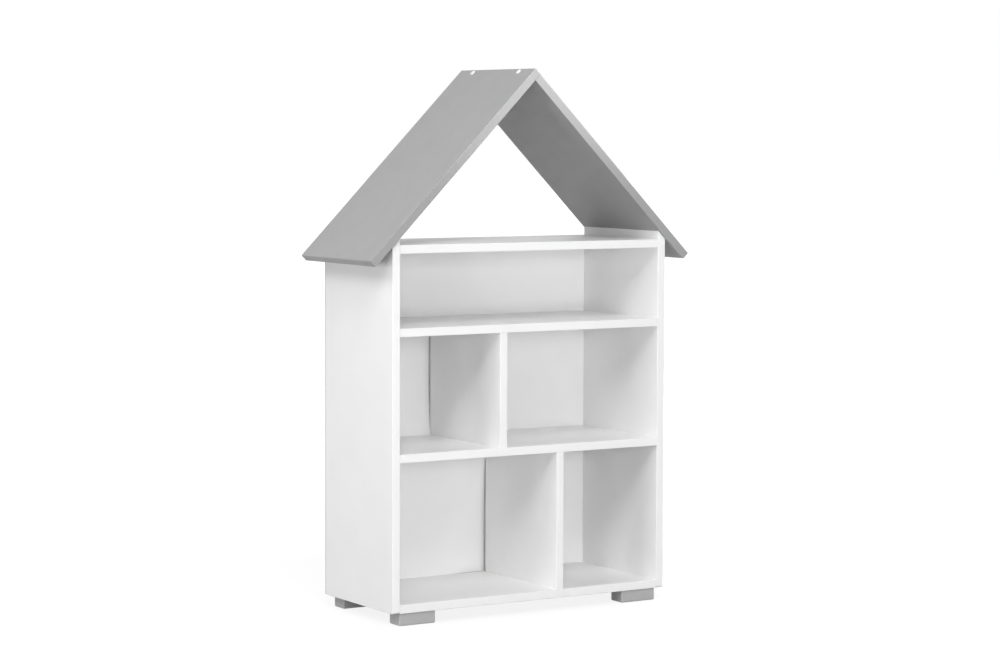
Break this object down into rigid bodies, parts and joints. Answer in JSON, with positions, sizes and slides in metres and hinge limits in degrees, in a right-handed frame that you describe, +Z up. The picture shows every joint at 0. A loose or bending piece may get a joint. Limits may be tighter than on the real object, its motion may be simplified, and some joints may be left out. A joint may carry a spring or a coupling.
{
  "type": "house shaped bookcase",
  "caption": "Free-standing children's bookcase shaped like a house, with open compartments under a pitched roof and an open gable.",
  "frame": {"origin": "On the floor, in the middle of the overall width and depth.", "axes": "X runs to the right seen from the front, Y from the front to the back, Z up."},
  "size_m": [0.797, 0.313, 1.165],
  "materials": {
    "white_board": "white satin lacquer on wood fibre board",
    "grey_board": "grey satin lacquer on wood fibre board",
    "white_hardboard": "thin hardboard, white lacquer on the front",
    "grey_foot": "grey matt lacquer",
    "zinc_plated_steel": "bright zinc plating",
    "cast_zinc": "dull die-cast zinc",
    "beech": "raw beech",
    "white_plastic": "smooth white plastic"
  },
  "bodies": {
    "root": {"side_left": "white_board", "side_right": "white_board", "top_panel": "white_board", "upper_shelf": "white_board", "middle_shelf": "white_board", "bottom_panel": "white_board", "upper_divider": "white_board", "lower_divider": "white_board", "back_panel": "white_hardboard", "roof_left": "grey_board", "roof_right": "grey_board", "foot_front_left": "grey_foot", "foot_front_right": "grey_foot", "foot_rear_left": "grey_foot", "foot_rear_right": "grey_foot", "cam_bolts": "zinc_plated_steel", "cam_locks": "cast_zinc", "shelf_dowels": "beech", "divider_screws": "zinc_plated_steel", "divider_dowels": "beech", "ridge_screws": "zinc_plated_steel", "ridge_caps": "white_plastic", "ridge_dowels": "beech", "eaves_dowels": "beech", "foot_screws": "zinc_plated_steel", "back_nails": "zinc_plated_steel"}
  },
  "joints": []
}
